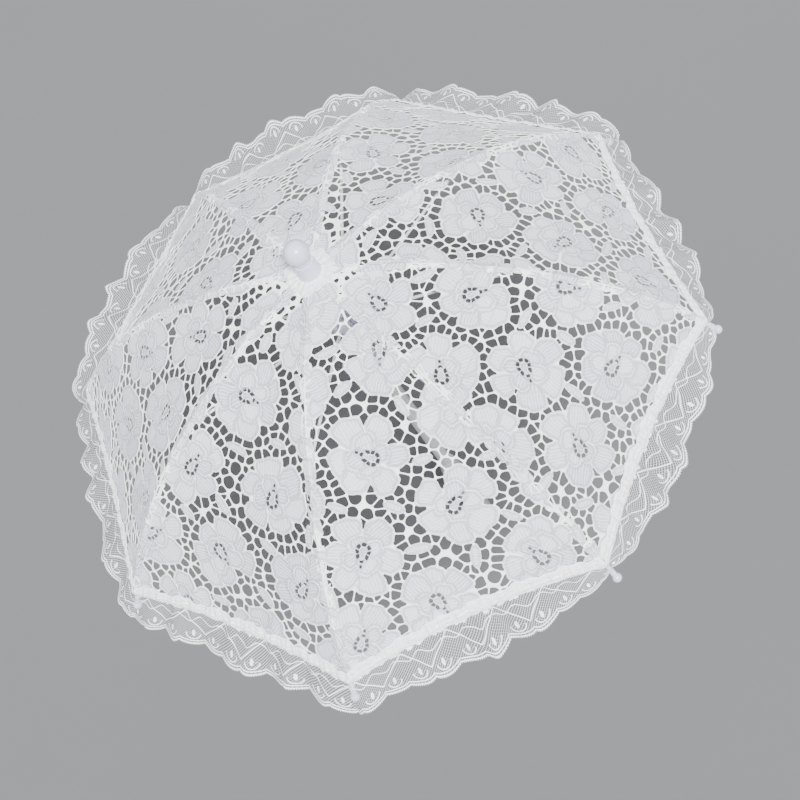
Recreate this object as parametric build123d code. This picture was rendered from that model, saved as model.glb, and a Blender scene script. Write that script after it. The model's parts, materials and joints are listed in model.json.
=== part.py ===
from build123d import *
from math import asin, atan2, cos, degrees, hypot, radians, sin, tan
import os

# Open lace parasol: handle, shaft, sliding runner, eight ribs, eight stretchers and a cloth canopy.
# Frame: +Z runs up the shaft to the ferrule, and the origin is the middle of the straight grip.
# Rib 1 points along +X, and the others follow every 45 degrees, counter-clockwise from above.

# Driving dimensions, in millimetres and degrees
RIBS = 8
STEP = 360 / RIBS
HALF = STEP / 2

GRIP_RADIUS = 9.0
GRIP_LENGTH = 80.0
GRIP_DOME = 6.0
HANDLE_TOP = 62.0
HANDLE_NECK_RADIUS = 6.6
SHAFT_RADIUS = 5.0
SHAFT_WALL = 0.8
SHAFT_BOTTOM = -30.0

HUB_Z = 338.0  # height of the ribs' hinges
HINGE_RADIUS = 9.0  # the hinges' distance from the shaft's axis
TIE_WIRE_RADIUS = 0.5
TIE_WIRE_CHANNEL = 0.56
HUB_RADIUS = 12.5
HUB_CORE_RADIUS = 6.8
HUB_TOP = 2.2
HUB_BOTTOM = -4.5
HUB_SLOT = 2.8

RIB_WIRE_RADIUS = 1.1
BEND_RADIUS = 118.0  # where the rib flexes as it closes, measured from the shaft's axis
TIP_RADIUS = 225.0  # the tip balls' centres when open
INNER_BOW = 250.0  # radius of the rib's curve from hinge to bend
OUTER_BOW = 262.0  # radius of the rib's curve from bend to tip
BEND_GAP = 0.5
BLADE_THICKNESS = 1.2
EYE_RADIUS = 1.6
RIB_BLADE_LENGTH = 5.5
TIP_BALL_RADIUS = 3.0
TIP_SOCKET_RADIUS = 1.9
TIP_SOCKET_LENGTH = 7.0

CLIP_RADIUS = 110.0  # the stretcher rivets' distance from the shaft's axis
CLIP_DROP = 4.2  # the rivet's depth below the rib's middle
CLIP_LENGTH = 9.0
CLIP_SLEEVE_RADIUS = 1.5
CHEEK_THICKNESS = 0.6
CHEEK_GAP = 1.9
RIVET_RADIUS = 0.75
RIVET_HOLE = 0.83
STRETCHER_RADIUS = 1.0
STRETCHER_BLADE = 1.2
HOOK_LENGTH = 20.0

RUNNER_BORE = 5.08
RUNNER_SLEEVE_RADIUS = 7.0
RUNNER_COLLAR_RADIUS = 12.5
RUNNER_COLLAR_HALF = 4.0
RUNNER_SLEEVE_LENGTH = 26.0
RUNNER_SLOT = 2.2
KEYWAY_WIDTH = 2.4
KEYWAY_RADIUS = 6.5

CATCH_ANGLE = HALF
CATCH_NOSE_RADIUS = 6.2
CATCH_THICKNESS = 1.2
CATCH_SLOT = 1.8
CATCH_REACH = 20.0
CATCH_PIVOT_RADIUS = 2.6
CROSS_PIN_RADIUS = 0.8
CATCH_PIN_REACH = 3.5  # half the length of the catches' pivot pins, inside the runner's bore
STOP_PIN_REACH = 7.5
CLOSING_ANGLE = 72.5  # how far the ribs' inner lengths turn as the parasol closes
CATCH_PLAY = 0.6

CLOTH_LIFT = 1.9  # the cloth's underside above the rib wire's middle
CLOTH_THICKNESS = 0.6
CLOTH_GAP = 0.2
CLOTH_START_RADIUS = 14.5
CLOTH_CORNER_RADIUS = 219.0
HEM_HOLLOW = 11.0  # how far the hem's middle lies inside the line between two tips, seen from above
RUFFLE_CORNER = 3.0
RUFFLE_MIDDLE = 6.0
ROSETTE_RADIUS = 16.0

FERRULE_BASE = 3.6
FERRULE_RADIUS = 7.8
FERRULE_NECK_RADIUS = 6.4
FERRULE_CUP_TOP = 15.0
FERRULE_BALL_RADIUS = 8.0
FERRULE_BALL_Z = 24.5

# Worked out from the driving dimensions
BEND_ANGLE = degrees(asin((BEND_RADIUS - HINGE_RADIUS) / INNER_BOW))
BEND_DEPTH = INNER_BOW * (cos(radians(BEND_ANGLE)) - 1)
OUTER_CENTRE_R = BEND_RADIUS - OUTER_BOW * sin(radians(BEND_ANGLE))
OUTER_CENTRE_Z = BEND_DEPTH - OUTER_BOW * cos(radians(BEND_ANGLE))
TIP_ANGLE = degrees(asin((TIP_RADIUS - OUTER_CENTRE_R) / OUTER_BOW))
CLIP_ANGLE = degrees(asin((CLIP_RADIUS - HINGE_RADIUS) / INNER_BOW))


def along(angle, lift=0.0):
    """Radius and height, above the hub, of the rib's curve where it slopes down by angle."""
    if angle <= BEND_ANGLE:
        centre_r, centre_z, bow = HINGE_RADIUS, -INNER_BOW, INNER_BOW
    else:
        centre_r, centre_z, bow = OUTER_CENTRE_R, OUTER_CENTRE_Z, OUTER_BOW
    slope = radians(angle)
    return centre_r + (bow + lift) * sin(slope), centre_z + (bow + lift) * cos(slope)


def angle_at(radius):
    """The slope of the rib's curve at that distance from the shaft's axis."""
    if radius <= BEND_RADIUS:
        return degrees(asin((radius - HINGE_RADIUS) / INNER_BOW))
    return degrees(asin((radius - OUTER_CENTRE_R) / OUTER_BOW))


CLIP_POINT = along(CLIP_ANGLE, -CLIP_DROP)
STRETCHER_LENGTH = hypot(CLIP_POINT[0] - HINGE_RADIUS, CLIP_POINT[1])
STRETCHER_ANGLE = degrees(atan2(-CLIP_POINT[1], CLIP_POINT[0] - HINGE_RADIUS))
RUNNER_Z = HUB_Z + 2 * CLIP_POINT[1]
CLOSED_SINE = sin(radians(STRETCHER_ANGLE + CLOSING_ANGLE))
RUNNER_TRAVEL = 2 * STRETCHER_LENGTH * (CLOSED_SINE - sin(radians(STRETCHER_ANGLE)))


def write(name, *solids):
    """Writes one node, as one or more separate solids."""
    shape = solids[0] if len(solids) == 1 else Compound(children=list(solids))
    export_step(shape, f"parts/{name}.step")


def place(shape, angle):
    """Turns a shape, drawn in the plane of rib 1, to its place round the shaft."""
    return Rot(0, 0, angle) * shape


def tube(outer, inner, low, high):
    """A tube on the shaft's axis."""
    ring = Circle(outer) - Circle(inner)
    return Pos(0, 0, low) * extrude(ring, high - low)


def tie_wire(height, radius):
    """The ring that threads the hinges together."""
    return Pos(0, 0, height) * Torus(HINGE_RADIUS, radius)


def slots(height, low, high, width, inner):
    """Eight radial slots, open to the outside."""
    depth = HUB_RADIUS * 2 - inner
    block = Box(depth, width, high - low)
    one = Pos(inner + depth / 2, 0, height + (low + high) / 2) * block
    return [place(one, k * STEP) for k in range(RIBS)]


def cross_pin(height, angle, reach_in, reach_out, radius):
    """A pin across the shaft, square to the rib plane at that angle."""
    pin = Rot(90, 0, 0) * Cylinder(radius, reach_out * 2)
    return place(Pos(reach_in, 0, height) * pin, angle)


def handle():
    """Straight grip with a domed end and a turned neck, bored for the shaft."""
    half = GRIP_LENGTH / 2
    outline = Polyline(
        (0, -half - GRIP_DOME),
        (GRIP_RADIUS * 0.55, -half - GRIP_DOME),
    )
    dome = ThreePointArc(
        (GRIP_RADIUS * 0.55, -half - GRIP_DOME),
        (GRIP_RADIUS * 0.9, -half - GRIP_DOME * 0.6),
        (GRIP_RADIUS, -half),
    )
    side = Line((GRIP_RADIUS, -half), (GRIP_RADIUS, half))
    neck = Polyline(
        (GRIP_RADIUS, half),
        (GRIP_RADIUS - 1.2, half + 1.5),
        (GRIP_RADIUS - 1.2, half + 4.0),
        (GRIP_RADIUS - 0.2, half + 6.0),
        (HANDLE_NECK_RADIUS, HANDLE_TOP),
        (0, HANDLE_TOP),
        (0, -half - GRIP_DOME),
    )
    face = Plane.XZ * make_face([outline, dome, side, neck])
    body = revolve(face, Axis.Z)
    bore = Pos(0, 0, SHAFT_BOTTOM) * extrude(Circle(SHAFT_RADIUS), HANDLE_TOP - SHAFT_BOTTOM)
    return body - bore


def catch_places():
    """Heights of the two spring catches' ledges: under the open runner and over the closed one."""
    open_ledge = RUNNER_Z - RUNNER_COLLAR_HALF - RUNNER_SLEEVE_LENGTH - CATCH_PLAY
    closed_ledge = RUNNER_Z - RUNNER_TRAVEL + RUNNER_COLLAR_HALF + CATCH_PLAY
    return open_ledge, closed_ledge


def catch_outline(ledge, way):
    """A leaf pivoted at one end, with a nose that stands out of the shaft by the ledge."""
    root = ledge - way * CATCH_REACH
    ramp = ledge - way * 7.0
    return [
        (2.0, root - way * 1.6),
        (3.6, root - way * 1.6),
        (3.6, ramp),
        (CATCH_NOSE_RADIUS, ledge - way * 1.5),
        (CATCH_NOSE_RADIUS, ledge),
        (2.6, ledge),
        (2.6, root + way * 2.0),
        (2.0, root + way * 2.0),
    ]


def catch(ledge, way):
    """Leaf spring catch, bored for its pin."""
    face = Plane.XZ * make_face(Polyline(*catch_outline(ledge, way), close=True))
    leaf = extrude(face, CATCH_THICKNESS / 2, both=True)
    hole = Rot(90, 0, 0) * Cylinder(CROSS_PIN_RADIUS + 0.06, CATCH_THICKNESS * 2)
    centre = ledge - way * CATCH_REACH
    ear = Rot(90, 0, 0) * Cylinder(CROSS_PIN_RADIUS + 0.55, CATCH_THICKNESS)
    at = Pos(CATCH_PIVOT_RADIUS, 0, centre)
    return place(leaf + at * ear - at * hole, CATCH_ANGLE)


def catch_window(ledge, way):
    """The slot in the shaft that a catch's nose moves through."""
    low, high = sorted((ledge - way * 9.0, ledge + way * 1.2))
    block = Box(SHAFT_RADIUS, CATCH_SLOT, high - low)
    return place(Pos(SHAFT_RADIUS * 1.1, 0, (low + high) / 2) * block, CATCH_ANGLE)


def pin_places():
    """Height, distance from the axis and half length of each cross pin."""
    stop = RUNNER_Z + RUNNER_COLLAR_HALF + CROSS_PIN_RADIUS + 0.4
    places = [(stop, 0.0, STOP_PIN_REACH)]
    for (ledge, way) in zip(catch_places(), (1, -1)):
        places.append((ledge - way * CATCH_REACH, CATCH_PIVOT_RADIUS, CATCH_PIN_REACH))
    return places


def shaft():
    """Thin tube, with windows for the catches and holes for the pins."""
    body = tube(SHAFT_RADIUS, SHAFT_RADIUS - SHAFT_WALL, SHAFT_BOTTOM, HUB_Z + FERRULE_CUP_TOP - 3)
    for (ledge, way) in zip(catch_places(), (1, -1)):
        body -= catch_window(ledge, way)
    for (height, offset, reach) in pin_places():
        body -= cross_pin(height, CATCH_ANGLE, offset, reach, CROSS_PIN_RADIUS)
    return body


def crown():
    """Slotted hub that holds the ribs' inner ends on a tie wire."""
    low, high = HUB_Z + HUB_BOTTOM, HUB_Z + HUB_TOP
    body = tube(HUB_RADIUS, SHAFT_RADIUS, low, high)
    body += tube(HUB_CORE_RADIUS, SHAFT_RADIUS, low - 6.0, low)
    body -= slots(HUB_Z, HUB_BOTTOM - 1, HUB_TOP + 1, HUB_SLOT, HUB_CORE_RADIUS + 0.2)
    return body - tie_wire(HUB_Z, TIE_WIRE_CHANNEL)


def runner():
    """Sliding collar with slots for the stretchers, and a long sleeve to push it by."""
    half = RUNNER_COLLAR_HALF
    low, high = RUNNER_Z - half, RUNNER_Z + half
    body = tube(RUNNER_COLLAR_RADIUS, RUNNER_BORE, low, high)
    body += tube(RUNNER_SLEEVE_RADIUS, RUNNER_BORE, low - RUNNER_SLEEVE_LENGTH, low)
    body -= slots(RUNNER_Z, -half - 1, half + 1, RUNNER_SLOT, RUNNER_SLEEVE_RADIUS)
    keyway = Box(KEYWAY_RADIUS, KEYWAY_WIDTH, 100)
    body -= place(Pos(KEYWAY_RADIUS / 2, 0, RUNNER_Z) * keyway, CATCH_ANGLE)
    return body - tie_wire(RUNNER_Z, TIE_WIRE_CHANNEL)


def rib_path(start, end):
    """A stretch of the rib's curve, between two slopes."""
    points = [along(a) for a in (start, (start + end) / 2, end)]
    return ThreePointArc(*[(r, 0, HUB_Z + z) for r, z in points])


def wire(path, radius):
    """Round wire along a path."""
    return sweep(Plane(origin=path @ 0, z_dir=path % 0) * Circle(radius), path=path)


def rib_inner():
    """Rib from its hinge to its bend, with the eye at the crown and the stretcher's clip."""
    blade_end = HINGE_RADIUS + RIB_BLADE_LENGTH
    blade = Pos((HINGE_RADIUS + blade_end) / 2, 0, HUB_Z) * Box(
        RIB_BLADE_LENGTH, BLADE_THICKNESS, EYE_RADIUS * 2
    )
    at_hinge = Pos(HINGE_RADIUS, 0, HUB_Z) * Rot(90, 0, 0)
    eye = at_hinge * Cylinder(EYE_RADIUS, BLADE_THICKNESS)
    hole = at_hinge * Cylinder(TIE_WIRE_RADIUS + 0.09, BLADE_THICKNESS * 2)
    gap_angle = degrees(BEND_GAP / INNER_BOW)
    rod = wire(rib_path(angle_at(blade_end - 0.5), BEND_ANGLE - gap_angle), RIB_WIRE_RADIUS)
    return rod + blade + eye - hole


def clip():
    """Folded sheet clip: a sleeve round the rib and two cheeks, with the rivet through them."""
    r, z = along(CLIP_ANGLE)
    turn = Pos(r, 0, HUB_Z + z) * Rot(0, CLIP_ANGLE, 0)
    sleeve = Rot(0, 90, 0) * Cylinder(CLIP_SLEEVE_RADIUS, CLIP_LENGTH)
    bore = Rot(0, 90, 0) * Cylinder(RIB_WIRE_RADIUS + 0.06, CLIP_LENGTH + 2)
    height = CLIP_DROP + 1.6
    side = (CHEEK_GAP + CHEEK_THICKNESS) / 2
    cheek = Pos(0, side, -height / 2 - 0.3) * Box(4.6, CHEEK_THICKNESS, height - 0.6)
    cheeks = cheek + mirror(cheek, Plane.XZ)
    rivet_hole = Pos(0, 0, -CLIP_DROP) * Rot(90, 0, 0) * Cylinder(RIVET_RADIUS, 8)
    room = Pos(0, 0, -CLIP_DROP - 0.4) * Box(8, CHEEK_GAP, 3.6)
    return turn * (sleeve + cheeks - room - bore - rivet_hole)


def rivet():
    """The stretcher's rivet, with a head on each side."""
    r, z = CLIP_POINT
    width = CHEEK_GAP + 2 * CHEEK_THICKNESS
    pin = Cylinder(RIVET_RADIUS, width)
    heads = [Pos(0, 0, s * (width / 2 + 0.25)) * Cylinder(RIVET_RADIUS * 1.7, 0.5) for s in (-1, 1)]
    return Pos(r, 0, HUB_Z + z) * Rot(90, 0, 0) * (pin + heads)


def rib_outer():
    """Rib from its bend to the tip's socket."""
    gap_angle = degrees(BEND_GAP / OUTER_BOW)
    end = TIP_ANGLE - degrees((TIP_BALL_RADIUS + 1.5) / OUTER_BOW)
    return wire(rib_path(BEND_ANGLE + gap_angle, end), RIB_WIRE_RADIUS)


def rib_tip():
    """Ball on a socket that the rib's end is pushed into."""
    r, z = along(TIP_ANGLE)
    ball = Sphere(TIP_BALL_RADIUS)
    socket = Pos(0, 0, -TIP_SOCKET_LENGTH / 2 - 1) * Cylinder(TIP_SOCKET_RADIUS, TIP_SOCKET_LENGTH)
    depth = TIP_SOCKET_LENGTH - TIP_BALL_RADIUS
    bore = Pos(0, 0, -TIP_BALL_RADIUS - 1.4 - depth) * Cylinder(RIB_WIRE_RADIUS + 0.12, depth * 2)
    return Pos(r, 0, HUB_Z + z) * Rot(0, 90 + TIP_ANGLE, 0) * (ball + socket - bore)


def hook_outline():
    """The stretcher's inner end, from its own tie wire outwards: a tongue with an upturned lip.

    It is open above, so that the wire can leave and come back as the runner travels.
    """
    return [
        (-1.5, -1.4),
        (HOOK_LENGTH, -1.2),
        (HOOK_LENGTH, 1.2),
        (11.5, 1.2),
        (7.5, 0.3),
        (4.6, -0.25),
        (2.0, -0.55),
        (0.6, -0.65),
        (-0.65, -0.65),
        (-0.65, 0.8),
        (-1.5, 0.8),
    ]


def stretcher():
    """Wire strut from the runner's tie wire to the rivet on the rib."""
    outline = Polyline(*hook_outline(), close=True)
    hook = extrude(Plane.XZ * make_face(outline), STRETCHER_BLADE / 2, both=True)
    rod_start, rod_end = HOOK_LENGTH - 2, STRETCHER_LENGTH - 5
    rod = Pos((rod_start + rod_end) / 2, 0, 0) * Rot(0, 90, 0) * Cylinder(
        STRETCHER_RADIUS, rod_end - rod_start
    )
    blade = Pos(STRETCHER_LENGTH - 3.5, 0, 0) * Box(7, BLADE_THICKNESS, 2.0)
    at_rivet = Pos(STRETCHER_LENGTH, 0, 0) * Rot(90, 0, 0)
    eye = at_rivet * Cylinder(EYE_RADIUS - 0.1, BLADE_THICKNESS)
    hole = at_rivet * Cylinder(RIVET_HOLE, BLADE_THICKNESS * 2)
    strut = hook + rod + blade + eye - hole
    return Pos(HINGE_RADIUS, 0, RUNNER_Z) * Rot(0, -STRETCHER_ANGLE, 0) * strut


def cloth_band(start, end, run_out=0.0):
    """A thin sheet along the ribs' curve, straight across from side to side, drawn about +X."""
    scale = cos(radians(HALF))
    sides = []
    for lift in (CLOTH_LIFT, CLOTH_LIFT + CLOTH_THICKNESS):
        points = [along(a, lift) for a in (start, (start + end) / 2, end)]
        sides.append([(r * scale, HUB_Z + z) for r, z in points])
    low, high = sides
    step = (run_out * cos(radians(end)), -run_out * sin(radians(end)))
    under, over = [(r + step[0], z + step[1]) for r, z in (low[2], high[2])]
    edges = [ThreePointArc(*low), ThreePointArc(*high), Line(high[0], low[0]), Line(under, over)]
    if run_out:
        edges += [Line(low[2], under), Line(high[2], over)]
    face = Plane.XZ * make_face(edges)
    return extrude(face, TIP_RADIUS / 2, both=True)


def plan(outline):
    """A tall block with the given outline seen from above."""
    return Pos(0, 0, HUB_Z - 200) * extrude(make_face(outline), 250)


def side_at(x):
    """Half the cloth's width at that distance along the panel's middle line."""
    return x * tan(radians(HALF)) - CLOTH_GAP / cos(radians(HALF))


def panel_upper():
    """Cloth from the crown to the ribs' bends, drawn about +X."""
    scale = cos(radians(HALF))
    near = CLOTH_START_RADIUS * scale
    far = BEND_RADIUS * scale - CLOTH_GAP
    corners = [(near, -side_at(near)), (far, -side_at(far)), (far, side_at(far)), (near, side_at(near))]
    band = cloth_band(angle_at(CLOTH_START_RADIUS - 2), BEND_ANGLE)
    return band & plan(Polyline(*corners, close=True))


def panel_lower():
    """Cloth from the bends to the hollow hem, and the ruffle beyond it, drawn about +X."""
    scale = cos(radians(HALF))
    near = BEND_RADIUS * scale + CLOTH_GAP
    corner = CLOTH_CORNER_RADIUS * scale
    middle = corner - HEM_HOLLOW
    cut_end = angle_at(CLOTH_CORNER_RADIUS)
    hem = ThreePointArc((corner, side_at(corner)), (middle, 0), (corner, -side_at(corner)))
    rest = Polyline(
        (corner, -side_at(corner)),
        (near, -side_at(near)),
        (near, side_at(near)),
        (corner, side_at(corner)),
    )
    sheet = cloth_band(BEND_ANGLE + 0.001, cut_end) & plan([hem, rest])
    gap = 0.3
    out = corner + RUFFLE_CORNER
    bulge = corner + RUFFLE_MIDDLE
    inner = ThreePointArc(
        (corner + gap, side_at(corner) - gap), (middle + gap, 0), (corner + gap, gap - side_at(corner))
    )
    outer = ThreePointArc((out, gap - side_at(corner)), (bulge, 0), (out, side_at(corner) - gap))
    left = Line((corner + gap, gap - side_at(corner)), (out, gap - side_at(corner)))
    right = Line((out, side_at(corner) - gap), (corner + gap, side_at(corner) - gap))
    ruffle = cloth_band(angle_at(CLOTH_CORNER_RADIUS - 25), cut_end, 20.0)
    ruffle = ruffle & plan([inner, left, outer, right])
    return sheet, ruffle


def rosette():
    """Round cloth patch under the ferrule."""
    return tube(ROSETTE_RADIUS, SHAFT_RADIUS + 0.1, HUB_Z + HUB_TOP + 0.4, HUB_Z + HUB_TOP + 1.0)


def ferrule():
    """Moulded cup with a ball on top, bored for the shaft's end."""
    base = HUB_Z + FERRULE_BASE
    cup_height = FERRULE_CUP_TOP - FERRULE_BASE
    cup = Pos(0, 0, base + cup_height / 2) * Cone(FERRULE_RADIUS, FERRULE_NECK_RADIUS, cup_height)
    ball = Pos(0, 0, HUB_Z + FERRULE_BALL_Z) * Sphere(FERRULE_BALL_RADIUS)
    neck_height = FERRULE_BALL_Z - FERRULE_CUP_TOP
    neck = Pos(0, 0, HUB_Z + FERRULE_CUP_TOP + neck_height / 2) * Cylinder(5.6, neck_height)
    bore = Pos(0, 0, base - 1) * extrude(Circle(SHAFT_RADIUS), FERRULE_CUP_TOP - 2 - FERRULE_BASE)
    return cup + neck + ball - bore


def main():
    os.makedirs("parts", exist_ok=True)
    write("handle", handle())
    write("shaft", shaft())
    write("crown", crown())
    write("crown_wire", tie_wire(HUB_Z, TIE_WIRE_RADIUS))
    write("rosette", rosette())
    write("ferrule", ferrule())
    pins = [cross_pin(z, CATCH_ANGLE, x, reach, CROSS_PIN_RADIUS) for z, x, reach in pin_places()]
    write("cross_pins", *pins)
    write("runner", runner())
    write("runner_wire", tie_wire(RUNNER_Z, TIE_WIRE_RADIUS))
    open_ledge, closed_ledge = catch_places()
    write("upper_catch", catch(open_ledge, 1))
    write("lower_catch", catch(closed_ledge, -1))

    ribs = {
        "rib_inner": [rib_inner(), clip(), rivet()],
        "rib_outer": [rib_outer()],
        "rib_tip": [rib_tip()],
        "stretcher": [stretcher()],
    }
    panels = {"panel_upper": [panel_upper()], "panel_lower": list(panel_lower())}
    for k in range(RIBS):
        for name, solids in ribs.items():
            write(f"{name}_{k + 1}", *[place(s, k * STEP) for s in solids])
        for name, solids in panels.items():
            write(f"{name}_{k + 1}", *[place(s, k * STEP + HALF) for s in solids])

    print("hinge (%.1f, %.1f), runner pivot z %.3f" % (HINGE_RADIUS, HUB_Z, RUNNER_Z))
    print("runner travel %.3f" % RUNNER_TRAVEL)
    print("stretcher length %.3f angle %.3f" % (STRETCHER_LENGTH, STRETCHER_ANGLE))
    print("bend", BEND_RADIUS, round(HUB_Z + BEND_DEPTH, 3), "angle", round(BEND_ANGLE, 3))
    print("tip", [round(v, 3) for v in along(TIP_ANGLE)], "slope", round(TIP_ANGLE, 3))
    print("catch ledges", catch_places())


main()
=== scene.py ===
# %% [markdown]
# # A lace parasol, open, with its cloth cut and sewn the way the real one is
#
# The frame is what is hard: handle, shaft, runner, ribs and stretchers. Everything here is in
# metres, in the frame's own axes, with +Z up the shaft. This lesson adds the cloth, the trim and
# every finish. Lengths are worked out in millimetres, and MM turns them into metres.

# %% Load the frame
import json
import math

import bpy
import numpy as np
from mathutils import Matrix, Vector


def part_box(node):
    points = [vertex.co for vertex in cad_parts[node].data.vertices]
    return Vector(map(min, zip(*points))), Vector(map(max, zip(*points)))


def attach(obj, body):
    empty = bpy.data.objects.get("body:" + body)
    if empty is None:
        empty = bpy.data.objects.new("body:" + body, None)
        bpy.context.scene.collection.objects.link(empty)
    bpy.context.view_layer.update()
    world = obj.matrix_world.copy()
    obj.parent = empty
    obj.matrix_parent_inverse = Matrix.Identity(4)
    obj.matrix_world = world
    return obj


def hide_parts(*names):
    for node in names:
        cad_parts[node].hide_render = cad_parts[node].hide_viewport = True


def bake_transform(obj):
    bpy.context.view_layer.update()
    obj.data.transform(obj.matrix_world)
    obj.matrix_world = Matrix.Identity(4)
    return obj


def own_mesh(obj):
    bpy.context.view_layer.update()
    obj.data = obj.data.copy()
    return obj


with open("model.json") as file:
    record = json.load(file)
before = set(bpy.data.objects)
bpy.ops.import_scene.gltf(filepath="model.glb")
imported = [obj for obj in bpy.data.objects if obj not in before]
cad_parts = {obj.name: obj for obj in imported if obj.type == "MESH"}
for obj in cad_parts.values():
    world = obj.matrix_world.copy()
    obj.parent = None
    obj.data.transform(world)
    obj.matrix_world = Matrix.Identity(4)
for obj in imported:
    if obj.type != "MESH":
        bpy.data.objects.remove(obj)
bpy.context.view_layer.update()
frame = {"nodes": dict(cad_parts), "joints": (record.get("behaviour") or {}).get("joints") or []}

MM = 0.001
SEED = 11
RIBS = 8
HALF_TURN = math.pi / RIBS
JOINTS = {joint["name"]: joint for joint in frame["joints"]}
bpy.ops.object.select_all(action="DESELECT")


def put_in_scene(name, data):
    """A new object for a mesh, a light or a camera."""
    made = bpy.data.objects.new(name, data)
    bpy.context.scene.collection.objects.link(made)
    return made


# %% [markdown]
# ## The line that the cloth follows
#
# Each rib is one bow from its hinge to its bend and a second bow, tangent to the first, out to the
# ball on its tip. Both bows can be worked out from three points of the frame, so nothing is
# measured by eye. Between two ribs the cloth runs straight across, so a gore is a piece of a
# cylinder. That is handy, because such a piece unrolls flat without stretching: the pattern is
# drawn on the flat and wrapped on at its true size.

# %% Read the ribs' line from the frame
TIP_BALL_RADIUS = 3.0
CLOTH_LIFT = 2.2  # the middle of the cloth above the middle of the rib


def place_of(joint):
    """Distance from the shaft and height of a joint on rib 1, in millimetres."""
    x, y, z = (value / MM for value in JOINTS[joint]["pos_m"])
    return math.hypot(x, y), z


hinge_r, hinge_z = place_of("rib_hinge_1")
bend_r, bend_z = place_of("rib_flex_1")
tip_low, tip_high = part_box("rib_tip_1")
tip_r = tip_high.x / MM - TIP_BALL_RADIUS
tip_z = tip_low.z / MM + TIP_BALL_RADIUS

run, drop = bend_r - hinge_r, hinge_z - bend_z
inner_bow = (run**2 + drop**2) / (2 * drop)
bend_slope = math.asin(run / inner_bow)
chord = np.array([tip_r - bend_r, tip_z - bend_z])
inward = np.array([-math.sin(bend_slope), -math.cos(bend_slope)])
outer_bow = chord @ chord / (2 * chord @ inward)
outer_centre = np.array([bend_r, bend_z]) + outer_bow * inward
print("bows of", round(inner_bow, 1), "and", round(outer_bow, 1), "mm")
print("bend at", round(math.degrees(bend_slope), 1), "degrees")


def rib_line(slope, lift):
    """Distance from the shaft and height of a line lift above the rib, where it slopes that much."""
    inside = slope <= bend_slope
    bow = np.where(inside, inner_bow, outer_bow) + lift
    r = np.where(inside, hinge_r, outer_centre[0]) + bow * np.sin(slope)
    z = np.where(inside, hinge_z - inner_bow, outer_centre[1]) + bow * np.cos(slope)
    return r, z


# %% Unroll a gore: distance down its middle against slope
START_RADIUS, CORNER_RADIUS = 14.5, 219.0  # where the cloth begins and ends, from the shaft
SLOPE_PAST_BEND, SLOPE_COUNT = 1.0, 4000
slopes = np.linspace(0.0, bend_slope + SLOPE_PAST_BEND, SLOPE_COUNT)
line_r, line_z = rib_line(slopes, CLOTH_LIFT)
middle_x = line_r * math.cos(HALF_TURN)
steps = np.hypot(np.diff(middle_x), np.diff(line_z))
down = np.concatenate([[0.0], np.cumsum(steps)])


def down_at(radius):
    """How far down the gore's middle line the ribs reach that distance from the shaft."""
    return float(np.interp(radius, line_r, down))


TOP = down_at(START_RADIUS)
BEND = down_at(bend_r + CLOTH_LIFT * math.sin(bend_slope))
CORNER = down_at(CORNER_RADIUS)


def half_width(s):
    """Half the gore's width at that distance down its middle line."""
    return np.interp(s, down, middle_x) * math.tan(HALF_TURN)


HEM_HALF = float(half_width(CORNER))
print("gore", round(CORNER - TOP, 1), "mm long, half width", round(HEM_HALF, 1), "mm at its corners")

# %% Wrap flat points on to the canopy
SAG = 3.2  # how far the cloth sinks between two ribs
PUCKER, PUCKER_REACH, PUCKER_BEAT = 0.55, 26.0, 0.42  # small waves near the hem


def gore_angle(gore):
    """Direction of the middle of a gore, which lies half way between two ribs."""
    return 2 * HALF_TURN * gore + HALF_TURN


def wrapped(gore, t, s, lift):
    """Places on a gore, t across and s down the flat cloth, lift above its middle surface."""
    slope = np.interp(s, down, slopes)
    r, z = rib_line(slope, CLOTH_LIFT)
    x = r * math.cos(HALF_TURN)
    nx, nz = np.sin(slope), np.cos(slope) * math.cos(HALF_TURN)
    size = np.hypot(nx, nz)
    share = np.clip(np.abs(t) / np.maximum(half_width(s), 1.0), 0.0, 1.0)
    reach = np.clip((s - TOP) / (CORNER - TOP), 0.0, 1.0)
    free = 1.0 - share**2
    sag = SAG * 4 * reach * (1 - reach) * free
    wave = np.sin(t * PUCKER_BEAT + 1.7 * gore + 0.03 * s)
    off = lift - sag + PUCKER * free * np.exp(-np.abs(CORNER - s) / PUCKER_REACH) * wave
    x, z = x + off * nx / size, z + off * nz / size
    a = gore_angle(gore)
    turned_x, turned_y = x * math.cos(a) - t * math.sin(a), x * math.sin(a) + t * math.cos(a)
    return np.stack([turned_x, turned_y, z], axis=1) * MM


# %% [markdown]
# ## Weaving one repeat of the lace
#
# Real lace repeats, so one repeat is woven here and every gore is cut from it at a different place.
# A flower is a heart of four small petals over a skirt of six or seven larger ones, with a small
# teardrop of open work in its middle. The net between the flowers is a foam of rounded holes: seeds
# are scattered with small gaps beside the flowers and larger ones further out, and each hole stops
# half a thread short of the line between it and its neighbours. The cloth is held as a field that
# is above zero on thread and below zero in a hole, with more fields for the raised cords and the
# filling stitches.

# %% The repeat's grid, and windows on it that wrap round its edges
COLUMNS, ROWS = 3, 4
FLOWER_STEP, FLOWER_ROW = 58.0, 49.0
REPEAT = (COLUMNS * FLOWER_STEP, ROWS * FLOWER_ROW)
CELLS = (480, 540)
PITCH = (REPEAT[0] / CELLS[0], REPEAT[1] / CELLS[1])
FAR = 1000.0
rng = np.random.default_rng(SEED)


def window(x, y, reach):
    """Grid indices round a point, wrapped at the repeat's edges, and offsets from the point."""
    i = np.arange(math.ceil((y - reach) / PITCH[1]), math.floor((y + reach) / PITCH[1]) + 1)
    j = np.arange(math.ceil((x - reach) / PITCH[0]), math.floor((x + reach) / PITCH[0]) + 1)
    dx, dy = np.meshgrid(j * PITCH[0] - x, i * PITCH[1] - y)
    return np.ix_(i % CELLS[1], j % CELLS[0]), dx, dy


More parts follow.
